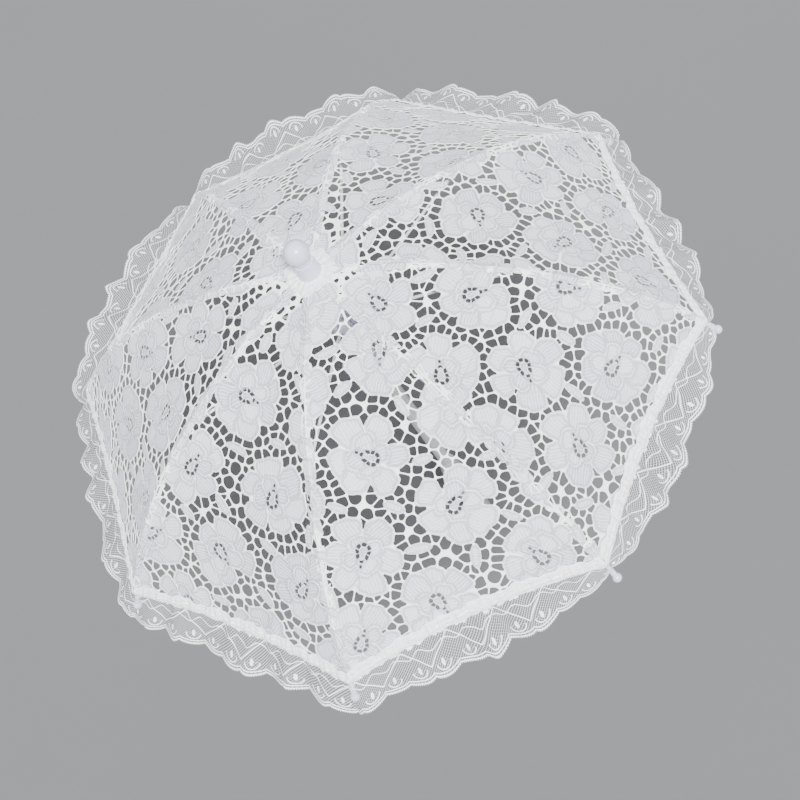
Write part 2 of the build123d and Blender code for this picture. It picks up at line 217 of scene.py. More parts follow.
def fresh(value):
    """A grid of the whole repeat, with one value all over."""
    return np.full((CELLS[1], CELLS[0]), value)


def ellipse_distance(u, v, a, b):
    """Near enough the distance outside an ellipse, negative inside."""
    q = np.sqrt((u / a) ** 2 + (v / b) ** 2)
    return (q - 1) * np.sqrt(u * u + v * v) / np.maximum(q, 1e-6)


# %% Flowers: petals, raised cords and the teardrop of open work
HEART_PETALS, SKIRT_PETALS = 4, (6, 7)
HEART = ((4.6, 7.6), (5.6, 8.2), (4.4, 6.8))  # ranges of reach, half length and half width
SKIRT = ((12.4, 16.2), (7.8, 10.8), (6.4, 9.2))  # the same of a skirt petal
FLOWER_REACH, SOLID_MIDDLE = 31.0, 9.0
NO_CORD, PLAIN = 9.0, 0.5  # far from any cord, and the shade of cloth that has no petal
DROP_LENGTH, DROP_RADIUS, DROP_SLOTS = 9.5, 3.0, 8
SLOT_OUT, SLOT_HALF, SLOT_SHARE = 0.45, 1.15, 0.68  # place, half height and share of the ring
TAIL_START, TAIL_END, TAIL_HALF, TAIL_BEAT, TAIL_SHARE = 6.0, 11.5, 1.2, 1.9, 0.45
outside, cord, shade, weave = fresh(FAR), fresh(NO_CORD), fresh(PLAIN), fresh(0.0)
ladder = fresh(-FAR)


def teardrop(along, across):
    """Distance outside the teardrop of open work, and a field above zero in the slots round it."""
    length = np.clip(along / DROP_LENGTH, 0, 1)
    edge = np.hypot(along - DROP_LENGTH * length, across) - DROP_RADIUS * (1 - length) ** 0.8 - 0.15
    turn = np.arctan2(across, along - 1.0)
    slots = np.minimum(SLOT_HALF - abs(edge - SLOT_OUT), (np.cos(DROP_SLOTS * turn) + SLOT_SHARE) * 1.2)
    narrow = TAIL_HALF - abs(across) - 0.10 * (along - TAIL_START)
    tail = np.minimum(narrow, (np.cos(along * TAIL_BEAT) + TAIL_SHARE) * 1.2)
    slots = np.where(along > TAIL_START, tail, slots)
    return edge, np.where(along > TAIL_END, -1.0, slots)


def fresh_like(grid, value):
    """A grid as large as another, with one value all over."""
    return np.full(grid.shape, value)


def lay_on_repeat(where, edge, lines, tint, phase):
    """Puts a flower or a leaf on the repeat, where no other one is nearer."""
    nearer = edge < outside[where]
    for grid, new in ((outside, edge), (cord, lines), (shade, tint), (weave, phase)):
        grid[where] = np.where(nearer, new, grid[where])


def weave_flower(x, y):
    """Adds one flower to the repeat."""
    where, dx, dy = window(x, y, FLOWER_REACH)
    out, lines, tint, phase = (fresh_like(dx, value) for value in (FAR, NO_CORD, PLAIN, 0.0))
    covered = np.zeros(dx.shape, bool)
    count = int(rng.integers(SKIRT_PETALS[0], SKIRT_PETALS[1] + 1))
    first = rng.uniform(0, 2 * math.pi)
    for petal in range(HEART_PETALS + count):
        kind, in_ring = (HEART, HEART_PETALS) if petal < HEART_PETALS else (SKIRT, count)
        reaches, longs, wides = kind
        a = first + petal * 2 * math.pi / in_ring + rng.uniform(-0.2, 0.2)
        reach = rng.uniform(*reaches)
        u = (dx - reach * math.cos(a)) * math.cos(a) + (dy - reach * math.sin(a)) * math.sin(a)
        v = (dy - reach * math.sin(a)) * math.cos(a) - (dx - reach * math.cos(a)) * math.sin(a)
        round_it = np.arctan2(v, u)
        frill = 1 + 0.07 * np.cos(3 * round_it + rng.uniform(0, 6))
        frill += 0.035 * np.cos(7 * round_it + rng.uniform(0, 6))
        long, wide = rng.uniform(*longs) * frill, rng.uniform(*wides) * frill
        edge = ellipse_distance(u, v * (1 - 0.04 * u), long, wide)
        lines = np.where(covered, lines, np.minimum(lines, abs(edge)))
        new = (edge < 0) & ~covered
        tint = np.where(new, rng.uniform(), tint)
        grain = a + math.pi / 2 + rng.uniform(-0.35, 0.35)
        phase = np.where(new, dx * math.cos(grain) + dy * math.sin(grain), phase)
        covered |= edge < 0
        out = np.minimum(out, edge)
    out = np.minimum(out, np.hypot(dx, dy) - SOLID_MIDDLE)
    a = first + math.pi / count + rng.uniform(-0.4, 0.4)
    along, across = dx * math.cos(a) + dy * math.sin(a) + 3.0, dy * math.cos(a) - dx * math.sin(a)
    edge, slots = teardrop(along, across)
    lines = np.where(edge < 2.2, np.minimum(lines, abs(edge - 1.7)), lines)
    lines = np.where(edge < 1.4, np.minimum(NO_CORD, abs(edge + 1.0)), lines)
    lay_on_repeat(where, out, lines, tint, phase)
    ladder[where] = np.maximum(ladder[where], slots)


JITTER = (-4, 4)
for row in range(ROWS):
    for column in range(COLUMNS):
        shift = 0.5 * (row % 2)
        x = (column + shift) * FLOWER_STEP + rng.uniform(*JITTER)
        weave_flower(x % REPEAT[0], (row * FLOWER_ROW + rng.uniform(*JITTER)) % REPEAT[1])
print("flowers cover", round(float((outside < 0).mean()), 2), "of the lace")

# %% Small leaves in the middle of the net
LEAF_GAP, LEAF_CLEAR, LEAF_REACH = 23.0, 4.6, 12.0
LEAF_TRIES, LEAF_SHADE = 3000, 0.7
LEAF_LONG, LEAF_WIDE = (5.5, 8.0), (2.2, 3.0)  # ranges of half length and half width


def at_points(grid, x, y):
    """The grid's value at the nearest grid point."""
    return grid[(y / PITCH[1]).astype(int) % CELLS[1], (x / PITCH[0]).astype(int) % CELLS[0]]


def apart(x, y, others):
    """Distances to other places, the short way round the repeat."""
    dx = (others[..., 0] - x + REPEAT[0] / 2) % REPEAT[0] - REPEAT[0] / 2
    dy = (others[..., 1] - y + REPEAT[1] / 2) % REPEAT[1] - REPEAT[1] / 2
    return np.hypot(dx, dy)


spots = rng.uniform(0, 1, (LEAF_TRIES, 2)) * REPEAT
clear = at_points(outside, spots[:, 0], spots[:, 1])
leaves = np.empty((0, 2))
for spot in spots[np.argsort(-clear)][: int((clear > LEAF_CLEAR).sum())]:
    if len(leaves) == 0 or apart(spot[0], spot[1], leaves).min() > LEAF_GAP:
        leaves = np.vstack([leaves, spot])
for x, y in leaves:
    where, dx, dy = window(x, y, LEAF_REACH)
    a, curl = rng.uniform(0, math.pi), rng.uniform(-0.02, 0.02)
    u, v = dx * math.cos(a) + dy * math.sin(a), dy * math.cos(a) - dx * math.sin(a)
    edge = ellipse_distance(u, v + curl * u * u, rng.uniform(*LEAF_LONG), rng.uniform(*LEAF_WIDE))
    lay_on_repeat(where, edge, abs(edge), LEAF_SHADE, u)
print(len(leaves), "leaves")

# %% Seeds of the net, closer together beside the flowers
CANDIDATES = 26000
BUCKET = 8.0
SEED_CLEAR, FIRST_RING = 1.2, 2.3  # distance from a flower: the least, and of the holes round it
SMALL_GAP, LARGE_GAP = 3.9, 8.2


def scatter_seeds():
    """Places and gaps of the net's holes."""
    x, y = rng.uniform(0, REPEAT[0], CANDIDATES), rng.uniform(0, REPEAT[1], CANDIDATES)
    clear = at_points(outside, x, y)
    keep = clear > SEED_CLEAR
    x, y, clear = x[keep], y[keep], clear[keep]
    gaps = np.clip(3.8 + 1.35 * (clear - 1.6), SMALL_GAP, LARGE_GAP)
    order = np.argsort(abs(clear - FIRST_RING) + rng.uniform(0, 0.7, len(clear)))
    wide, high = int(REPEAT[0] // BUCKET), int(REPEAT[1] // BUCKET)
    buckets, chosen = {}, []
    around = [(a, b) for a in (-1, 0, 1) for b in (-1, 0, 1)]
    for n in order:
        i, j = int(x[n] / REPEAT[0] * wide), int(y[n] / REPEAT[1] * high)
        near = [c for a, b in around for c in buckets.get(((i + a) % wide, (j + b) % high), ())]
        if near:
            close = np.array(near)
            if (apart(x[n], y[n], close) < 0.5 * (gaps[n] + close[:, 2])).any():
                continue
        buckets.setdefault((i, j), []).append((x[n], y[n], gaps[n]))
        chosen.append((x[n], y[n], gaps[n]))
    return np.array(chosen)


seeds = scatter_seeds()
print(len(seeds), "holes in the net of one repeat")

# %% The net: each hole keeps half a thread away from its neighbours
HALF_THREAD, ROUNDING, LARGEST_HOLE = 0.42, 0.5, 4.3
OWN_REACH, PRESS_REACH = 8.0, 9.0
FLOWER_RIM, SOFTNESS = 0.6, 0.5  # solid cloth past the petals, and how softly the net's holes meet it


def weave_net():
    """How far inside a hole of the net each point is, negative on the threads."""
    best, owner, nearest = fresh(FAR), fresh(-1.0), fresh(FAR)
    for n, (x, y, gap) in enumerate(seeds):
        where, dx, dy = window(x, y, OWN_REACH)
        d = np.hypot(dx, dy)
        nearer = d - gap / 2 < best[where]
        best[where] = np.where(nearer, d - gap / 2, best[where])
        owner[where] = np.where(nearer, n, owner[where])
        nearest[where] = np.where(nearer, d, nearest[where])
    crowd = fresh(1e-9)
    for n, (x, y, gap) in enumerate(seeds):
        where, dx, dy = window(x, y, PRESS_REACH)
        mine = owner[where].astype(int)
        other = seeds[mine]
        between = np.maximum(apart(x, y, other), 0.1)
        lean = 1.2 * ((gap / 2) ** 2 - (other[..., 2] / 2) ** 2)
        border = (dx**2 + dy**2 - nearest[where] ** 2 - lean) / (2 * between) - HALF_THREAD
        press = np.exp(-np.clip(border, -6, 10) / ROUNDING)
        crowd[where] += np.where((mine == n) | (mine < 0), 0.0, press)
    return np.minimum(-ROUNDING * np.log(crowd), LARGEST_HOLE - nearest)


net = weave_net()
mix = np.clip(0.5 + 0.5 * (outside - FLOWER_RIM - net) / SOFTNESS, 0, 1)
hole = (outside - FLOWER_RIM) * (1 - mix) + net * mix - SOFTNESS * mix * (1 - mix)
thread = -np.maximum(hole, ladder)
motif = np.clip(0.5 - outside / 0.8, 0, 1)
LACE = {"thread": thread, "cord": cord, "motif": motif, "shade": shade, "weave": weave}
print("holes take", round(float((thread < 0).mean()), 2), "of the lace")


def lace_at(x, y):
    """The lace's fields at any flat place, between the grid's points."""
    gx, gy = np.mod(x / PITCH[0], CELLS[0]), np.mod(y / PITCH[1], CELLS[1])
    j, i = gx.astype(int) % CELLS[0], gy.astype(int) % CELLS[1]
    fx, fy = gx - np.floor(gx), gy - np.floor(gy)
    j2, i2 = (j + 1) % CELLS[0], (i + 1) % CELLS[1]
    found = {}
    for name, grid in LACE.items():
        low = grid[i, j] * (1 - fx) + grid[i, j2] * fx
        high = grid[i2, j] * (1 - fx) + grid[i2, j2] * fx
        found[name] = low * (1 - fy) + high * fy
    return found


# %% [markdown]
# ## Cutting cloth along its threads
#
# A picture of lace on a plain sheet looks painted on. Here every hole is a real hole: the field is
# laid on a grid, and each square of it is cut where the field crosses zero. Whole squares stay
# squares, and the edge of a hole runs smoothly between them. The flat places and the other fields
# are carried to the new corners too.

# %% The cutter
GRID = 0.7
CUT_RANGE = (0.05, 0.95)  # a cut stays this share of a square's side away from its corners


def crossing(one, two):
    """Where between two neighbouring corners the field crosses zero."""
    return np.clip(one / np.where(one == two, 1, one - two), *CUT_RANGE)


def cut_cloth(channels, field):
    """Corners and faces where the field is above zero. channels are the values carried along."""
    rows, columns = field.shape
    inside = field > 0
    corner = np.arange(rows * columns).reshape(rows, columns)
    cut_across = crossing(field[:, :-1], field[:, 1:])
    cut_upward = crossing(field[:-1], field[1:])
    on_across = channels[:, :, :-1] * (1 - cut_across) + channels[:, :, 1:] * cut_across
    on_upward = channels[:, :-1] * (1 - cut_upward) + channels[:, 1:] * cut_upward
    layers = (channels, on_across, on_upward)
    values = np.concatenate([layer.reshape(len(channels), -1) for layer in layers], axis=1)
    a = rows * columns + np.arange(cut_across.size).reshape(cut_across.shape)
    u = rows * columns + cut_across.size + np.arange(cut_upward.size).reshape(cut_upward.shape)
    corners = (corner[:-1, :-1], corner[:-1, 1:], corner[1:, 1:], corner[1:, :-1])
    edges = (a[:-1], u[:, 1:], a[1:], u[:, :-1])
    flags = (inside[:-1, :-1], inside[:-1, 1:], inside[1:, 1:], inside[1:, :-1])
    kind = sum(flag.astype(int) << k for k, flag in enumerate(flags))
    faces = []
    for pattern in range(1, 16):
        here = kind == pattern
        if not here.any():
            continue
        loop = []
        for k in range(4):
            now, then = pattern >> k & 1, pattern >> (k + 1) % 4 & 1
            if now:
                loop.append(corners[k][here])
            if now != then:
                loop.append(edges[k][here])
        faces.append(np.stack(loop, axis=1))
    used = np.unique(np.concatenate([f.ravel() for f in faces]))
    renumber = np.zeros(values.shape[1], int)
    renumber[used] = np.arange(len(used))
    return values[:, used], [renumber[f] for f in faces]


# %% Make a mesh from corners and faces, and give it thickness
def make_piece(name, places, faces, fields):
    """A mesh piece at the origin, with its fields as attributes for the material."""
    mesh = bpy.data.meshes.new(name)
    sizes = np.concatenate([np.full(len(f), f.shape[1]) for f in faces])
    mesh.vertices.add(len(places))
    mesh.loops.add(int(sizes.sum()))
    mesh.polygons.add(len(sizes))
    mesh.vertices.foreach_set("co", np.ascontiguousarray(places, np.float32).ravel())
    mesh.loops.foreach_set("vertex_index", np.concatenate([f.ravel() for f in faces]).astype(np.int32))
    starts = np.concatenate([[0], np.cumsum(sizes)[:-1]])
    mesh.polygons.foreach_set("loop_start", starts.astype(np.int32))
    mesh.update(calc_edges=True)
    mesh.validate()
    for field, values in fields.items():
        layer = mesh.attributes.new(field, "FLOAT", "POINT")
        layer.data.foreach_set("value", values.astype(np.float32))
    mesh.polygons.foreach_set("use_smooth", np.ones(len(mesh.polygons), bool))
    return put_in_scene(name, mesh)


def thicken(piece, thickness):
    """Gives a sheet its thickness, half to each side."""
    solid = piece.modifiers.new("cloth", "SOLIDIFY")
    solid.thickness = thickness * MM
    solid.offset = 0
    bpy.context.view_layer.objects.active = piece
    bpy.ops.object.modifier_apply(modifier=solid.name)


def flat_area(x, y, faces):
    """Area of the flat cut, holes left out, in square metres."""
    total = 0.0
    for f in faces:
        px, py = x[f], y[f]
        total += abs((px * np.roll(py, -1, 1) - np.roll(px, -1, 1) * py).sum(1)).sum() / 2
    return total * MM * MM


# %% [markdown]
# ## Gores
#
# Eight gores make the canopy. Each is cut in one pattern but kept as an upper and a lower length,
# because the ribs flex at that line when the parasol closes. The hem's edge is hollow between the
# tips, from the pull of the ribs.

# %% Cut and wrap the gores
HEM_HOLLOW = 4.5
CLOTH_THICKNESS = 0.42
LENGTHS_OF_GORE = (("panel_upper", TOP, BEND), ("panel_lower", BEND, CORNER))
LAYERS = ("cord", "motif", "shade", "weave")  # the fields that the lace's finish reads
GORE_SHIFT = (71.0, 43.0)  # from gore to gore, the place on the repeat that it is cut from
DENSE, DENSE_START, DENSE_REACH = 1.1, 4.0, 26.0  # threads are thicker near the top, down to this far
SIDE_SLOPE, KEEP_EDGE = 0.9, 0.001  # KEEP_EDGE keeps the grid's last row of squares
corner_x = float(np.interp(CORNER, down, middle_x))


def hem_at(share):
    """How far down the hem lies at that share of the way from the gore's middle to a rib."""
    return np.interp(corner_x - HEM_HOLLOW * (1 - share**2), middle_x, down)


def cut_lace(name, x, y, lace, field, placed_at):
    """A piece of lace with its thickness, cut where the field is above zero, and its flat area."""
    values, faces = cut_cloth(np.stack([x, y] + [lace[layer] for layer in LAYERS]), field)
    piece = make_piece(name, placed_at(values[0], values[1]), faces, dict(zip(LAYERS, values[2:])))
    thicken(piece, CLOTH_THICKNESS)
    return piece, flat_area(values[0], values[1], faces)


def fold_with_runner(piece):
    """Gives a piece its own copy of its mesh."""
    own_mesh(piece)


def make_gore(gore, node, start, end):
    """Cuts one length of a gore from the lace and wraps it on."""
    wide = float(half_width(end))
    t = np.linspace(-wide, wide, 2 * math.ceil(wide / GRID) + 1)
    s = np.linspace(start, end, math.ceil((end - start) / GRID) + 1)
    T, S = np.meshgrid(t, s)
    turn = 1 if gore % 2 else -1
    lace = lace_at(turn * T + GORE_SHIFT[0] * gore, turn * S + GORE_SHIFT[1] * gore)
    dense = DENSE * (1 - np.clip((S - TOP - DENSE_START) / DENSE_REACH, 0, 1))
    field = np.minimum(lace["thread"] + dense, (half_width(S) - abs(T)) * SIDE_SLOPE + KEEP_EDGE)
    field = np.minimum(field, hem_at(np.clip(T / HEM_HALF, -1, 1)) - S + KEEP_EDGE)
    body = f"{node}_{gore + 1}"
    piece, area = cut_lace(f"lace_{body}", T, S, lace, field, lambda t, s: wrapped(gore, t, s, 0.0))
    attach(piece, body)
    fold_with_runner(piece)
    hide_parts(body)
    return piece


gores = [make_gore(gore, *length) for gore in range(RIBS) for length in LENGTHS_OF_GORE]
print(len(gores), "lengths of lace,", sum(len(p.data.polygons) for p in gores), "faces")

# %% [markdown]
# ## Seams along the ribs
#
# Where two gores are sewn together their allowances lie one over the other, so the lace is double
# there and the holes half close up. A strip of the same lace, cut at another place, gives exactly
# that. It follows one rib over its bend.

# %% Seam strips
SEAM_HALF, SEAM_LIFT, RIDGE = 3.9, 0.55, 0.3
SEAM_END = CORNER + 2.0
SEAM_STEP, SEAM_COLUMNS, SEAM_CORE, SEAM_DENSE = 0.6, 18, 0.5, 0.05
SEAM_START, SEAM_SHIFT = (17.0, 60.0), (31.0, 27.0)  # place on the repeat, and its change by rib


def rib_wrapped(rib, d, s, lift):
    """Places on the two gores beside a rib, d to its side and s down, lifted square to the rib."""
    beside = np.where(d >= 0, -half_width(s) + d, half_width(s) + d)
    left = wrapped(rib, beside, s, 0.0)
    right = wrapped((rib - 1) % RIBS, beside, s, 0.0)
    slope = np.interp(s, down, slopes)
    a = 2 * HALF_TURN * rib
    normal = np.stack([np.sin(slope) * math.cos(a), np.sin(slope) * math.sin(a), np.cos(slope)], axis=1)
    return np.where(d[:, None] >= 0, left, right) + normal * np.asarray(lift)[:, None] * MM


def make_seam(rib):
    """Cuts a strip of lace, stitches it down the middle and lays it along a rib."""
    d = np.linspace(-SEAM_HALF - SEAM_STEP, SEAM_HALF + SEAM_STEP, SEAM_COLUMNS)
    s = np.linspace(TOP, SEAM_END, math.ceil((SEAM_END - TOP) / SEAM_STEP))
    D, S = np.meshgrid(d, s)
    lace = lace_at(D + SEAM_START[0] + SEAM_SHIFT[0] * rib, S + SEAM_START[1] + SEAM_SHIFT[1] * rib)
    edge = SEAM_HALF + 0.35 * np.sin(S * 0.55 + rib) + 0.2 * np.sin(S * 1.3) - abs(D)
    field = np.minimum(np.maximum(lace["thread"] + SEAM_DENSE, SEAM_CORE - abs(D)), edge)

    def laid(d, s):
        lift = SEAM_LIFT + RIDGE * np.exp(-((d / 1.1) ** 2)) + 0.1 * np.sin(s * 1.9)
        return rib_wrapped(rib, d, s, lift)

    piece, area = cut_lace(f"lace_seam_{rib + 1}", D, S, lace, field, laid)
    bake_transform(piece)
    return piece


seams = [make_seam(rib) for rib in range(RIBS)]
print(len(seams), "seams of", round(SEAM_END - TOP), "mm")

# %% [markdown]
# ## Hem bands
#
# The hem is turned over twice and topstitched, so it is the densest and whitest line of the canopy.
# The stitches draw it in, which leaves fine puckers across it and long folds down it. It is a plain
# strip on the flat, and the puckers and folds are in its lift. A cloth simulation could draw it in
# too, but the same waves come out of a few sines at once, and they can be set to the right size.

# %% Hem bands
HEM_WIDTH, HEM_OVERHANG, HEM_LIFT = 6.6, 1.6, 0.7
HEM_STEP, HEM_ROWS, HEM_THICKNESS = 0.9, 16, 0.5
HEM_MIDDLE, HEM_ROUND, HEM_CROWN = 2.5, 4.4, 0.8  # the rounded part's middle, half width and height


def make_hem(gore):
    """A puckered double band along a gore's hem."""
    share = np.linspace(-1, 1, 2 * math.ceil(HEM_HALF / HEM_STEP) + 1)
    up = np.linspace(-HEM_OVERHANG, HEM_WIDTH, HEM_ROWS)
    SHARE, UP = np.meshgrid(share, up)
    wobble = (0.8 * np.sin(SHARE * 19 + gore) + 0.5 * np.sin(SHARE * 53)) * np.clip((UP - 2) / 3, 0, 1)
    values, faces = cut_cloth(np.stack([SHARE, UP + wobble]), np.ones(UP.shape))
    s = hem_at(values[0]) - values[1]
    t = values[0] * half_width(s)
    along = values[0] * HEM_HALF
    middle = np.clip(1 - ((values[1] - HEM_MIDDLE) / HEM_ROUND) ** 2, 0, 1)
    pucker = 0.42 * np.sin(along * 1.35 + 2 * np.sin(along * 0.21 + gore))
    pucker += 0.3 * np.sin(along * 0.62 + 3 * gore)
    lengthwise = values[1] * 2.3 + 1.6 * np.sin(along * 0.11 + gore) + 0.7 * np.sin(along * 0.43)
    fold = 0.32 * np.sin(lengthwise)
    lift = HEM_LIFT + (HEM_CROWN + pucker + fold) * middle
    fields = {"along": along, "up": values[1]}
    piece = make_piece(f"hem_band_{gore + 1}", wrapped(gore, t, s, lift), faces, fields)
    thicken(piece, HEM_THICKNESS)
    body = f"panel_lower_{gore + 1}"
    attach(piece, body)
    fold_with_runner(piece)
    return piece


hems = [make_hem(gore) for gore in range(RIBS)]
print(len(hems), "hem bands", round(HEM_WIDTH + HEM_OVERHANG, 1), "mm wide")

# %% [markdown]
# ## The gathered ruffle
#
# The ruffle is a ready-made trim: a narrow fine net with a scalloped edge, embroidered with
# zigzags, crescents round small leaves, a vine and border lines. It is a third longer than the hem
# and gathered on to it, so it stands in waves that grow towards its free edge. The scallops are
# cut. The threads of the net are far too fine to cut, so the material opens the net between them,
# and the embroidery is drawn from smooth distances that the mesh carries.

# %% Shape of the trim on the flat
TRIM_DEPTH, SCALLOP, SCALLOP_DEPTH = 34.0, 21.0, 3.0
GATHER = 1.34  # length of the trim for each length of hem
TRIM_STEP, TRIM_TUCK = 0.9, 1.8
ZIGZAG_START, ZIGZAG_HEIGHT = 4.0, 19.0
LEAF_UP, LEAF_SIZE = 11.0, (1.2, 2.9)
MOON_UP, MOON_RADIUS, NO_MOON = 11.5, 6.0, 3.0
VINE_START, VINE_SWING = 10.0, 2.6
WAVES, WAVE_HEIGHT = 4.5, 3.6
FINE_WAVES, FINE_HEIGHT = 19, 0.9  # the small gathers beside the hem
SIDE_SHIFT, DOWN_SHIFT = 0.7, 1.2  # how far a wave carries the cloth aside and down
MIDDLE_HANG, RUFFLE_BULGE, FLARE = 6.0, 5.0, 7.0
SHORT_CORNER, LONG_CORNER = 2.0, 13.0  # how far the ruffle hangs past the cloth's corner, at a rib
SHORT_RIBS = (0, 7)
FULL_SIDE, FULL_FLARE = math.radians(125.0), 25.0  # the side where the ruffle stands out most


def trim_fields(u, y):
    """Distances, in millimetres on the flat, that the embroidery is drawn from."""
    edge = TRIM_DEPTH - SCALLOP_DEPTH * (1 - np.abs(np.sin(math.pi * u / SCALLOP)) ** 0.7) - y
    beat = np.mod(u, 2 * SCALLOP) / SCALLOP
    zigzag = y - ZIGZAG_START - ZIGZAG_HEIGHT * np.where(beat < 1, beat, 2 - beat)
    bead = np.mod(u, SCALLOP) - SCALLOP / 2
    crescent = np.hypot(bead, y - TRIM_DEPTH + MOON_UP) - MOON_RADIUS
    moon = np.where(y > TRIM_DEPTH - LEAF_UP, crescent, NO_MOON)
    leaf = ellipse_distance(bead, y - TRIM_DEPTH + LEAF_UP, *LEAF_SIZE)
    vine = y - VINE_START - VINE_SWING * np.sin(2 * math.pi * u / SCALLOP)
    return {"edge": edge, "zigzag": zigzag, "leaf": leaf, "moon": moon, "vine": vine, "u": u, "y": y}


def outer_at(share, gore):
    """How far down the ruffle's outer edge lies."""
    hangs = [SHORT_CORNER if rib % RIBS in SHORT_RIBS else LONG_CORNER for rib in (gore, gore + 1)]
    near = [np.clip(side * share, 0, 1) ** 3 for side in (-1, 1)]
    beyond = MIDDLE_HANG * (1 - near[0] - near[1]) + hangs[0] * near[0] + hangs[1] * near[1]
    return np.interp(corner_x + beyond + RUFFLE_BULGE * (1 - share**2), middle_x, down)


# %% Gather the ruffles on to the hem
def make_ruffle(gore):
    """One gore's length of the trim, in waves."""
    length = 2 * HEM_HALF * GATHER
    u = np.linspace(-length / 2, length / 2, math.ceil(length / TRIM_STEP) + 1)
    y = np.linspace(-TRIM_TUCK, TRIM_DEPTH, math.ceil(TRIM_DEPTH / TRIM_STEP) + 1)
    U, Y = np.meshgrid(u, y)
    fields = trim_fields(U + 11.0 * gore, Y)
    values, faces = cut_cloth(np.stack([U, Y] + list(fields.values())), fields["edge"])
    share, depth = values[0] / (length / 2), values[1] / TRIM_DEPTH
    width = outer_at(share, gore) - hem_at(share)
    free = np.clip(1 - share**2, 0, 1) ** 0.35
    swing = math.pi * WAVES * (share + 1) + 1.3 * np.sin(share * 5.0 + 2.0 * gore)
    fine = math.pi * FINE_WAVES * share + 1.5 * np.sin(share * 9 + gore)
    reach = np.clip(depth, 0, 1)
    grow = reach**0.8 * free
    s = hem_at(share) + depth * width + DOWN_SHIFT * np.cos(swing * 0.5 + gore) * grow
    t = share * half_width(s) + SIDE_SHIFT * np.sin(2 * swing) * grow
    flare = FLARE + FULL_FLARE * max(math.cos(gore_angle(gore) - FULL_SIDE), 0.0)
    lift = 0.1 + WAVE_HEIGHT * grow * np.sin(swing) + flare * reach**1.4 * free
    near_hem = np.clip(reach * 5, 0, 1) * np.clip(1 - 1.6 * reach, 0, 1)
    lift += FINE_HEIGHT * np.sin(fine) * near_hem * free
    places = wrapped(gore, t, s, lift)
    piece = make_piece(f"ruffle_{gore + 1}", places, faces, dict(zip(fields, values[2:])))
    body = f"panel_lower_{gore + 1}"
    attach(piece, body)
    fold_with_runner(piece)
    return piece


ruffles = [make_ruffle(gore) for gore in range(RIBS)]
print(len(ruffles), "ruffles,", round(2 * HEM_HALF * GATHER), "mm of trim on each hem")

# %% [markdown]
# ## The rosette under the ferrule
#
# A small round of doubled cloth covers the raw tops of the gores. It is drawn up on a thread at the
# shaft, so it lies in uneven pleats that open towards its edge, which is cut by hand and isn't
# quite round. It is laid out as rings of points, because a ring closes on itself without a seam.

# %% Rosette
ROSETTE_INNER, ROSETTE_OUTER, PLEATS = 5.4, 16.0, 17
POINTS_OF_PLEAT, ROSETTE_RINGS = 14, 16
ROSETTE_DOME, PLEAT_HEIGHT = 0.35, 0.28


def make_rosette():
    """A pleated ring of cloth round the shaft, on top of the gores."""
    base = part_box("rosette")[1].z / MM
    turn = np.linspace(0, 2 * math.pi, PLEATS * POINTS_OF_PLEAT, endpoint=False)
    ring = np.linspace(0, 1, ROSETTE_RINGS)
    A, Q = np.meshgrid(turn, ring)
    swing = np.sin(PLEATS * A + 1.6 * np.sin(3 * A) + 0.9 * np.sin(5 * A + 1))
    ragged = 0.8 * np.sin(4 * A + 2) + 0.6 * np.sin(7 * A) + 0.5 * np.sin(11 * A + 1) + 0.3 * swing
    r = ROSETTE_INNER + (ROSETTE_OUTER + ragged - ROSETTE_INNER) * Q
    z = base + ROSETTE_DOME - ROSETTE_DOME * Q**2 + PLEAT_HEIGHT * swing * (1 - 0.6 * Q)
    places = np.stack([r * np.cos(A), r * np.sin(A), z], axis=-1).reshape(-1, 3) * MM
    index = np.arange(A.size).reshape(A.shape)
    after = np.roll(index, -1, 1)
    faces = [np.stack([x.ravel() for x in (index[:-1], index[1:], after[1:], after[:-1])], axis=1)]
    fields = {"along": (A * 12).ravel(), "up": (8 * (1 - Q)).ravel()}
    piece = make_piece("rosette_cloth", places, faces, fields)
    thicken(piece, HEM_THICKNESS)
    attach(piece, "root")
    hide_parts("rosette")
    return piece


rosette = make_rosette()
print("rosette", round(2 * ROSETTE_OUTER), "mm across with", PLEATS, "pleats")

# %% [markdown]
# ## Threads that hold the cloth to the ribs
#
# At each tip the corner of the cloth is bound to the rib with a few turns of thread and a knot, and
# half way along each length of a rib a loop of two turns holds the seam to the wire. A binding is
# modelled once, on the X axis: one ring is pulled oval, copied along for each turn, and a small
# knot is pressed on below. Each rib then gets its own copies.

# %% Model the two bindings
THREAD = 0.28  # half the thread's thickness
OVAL_WIDE, OVAL_HIGH = 1.75, 2.5
TURN_PITCH, TURN_SHIFT = 1.9 * THREAD, 0.12
TIP_TURNS, LOOP_TURNS = 4, 2
KNOT_RADIUS, KNOT_SHAPE = 2.2 * THREAD, (1.35, 1.0, 0.75)


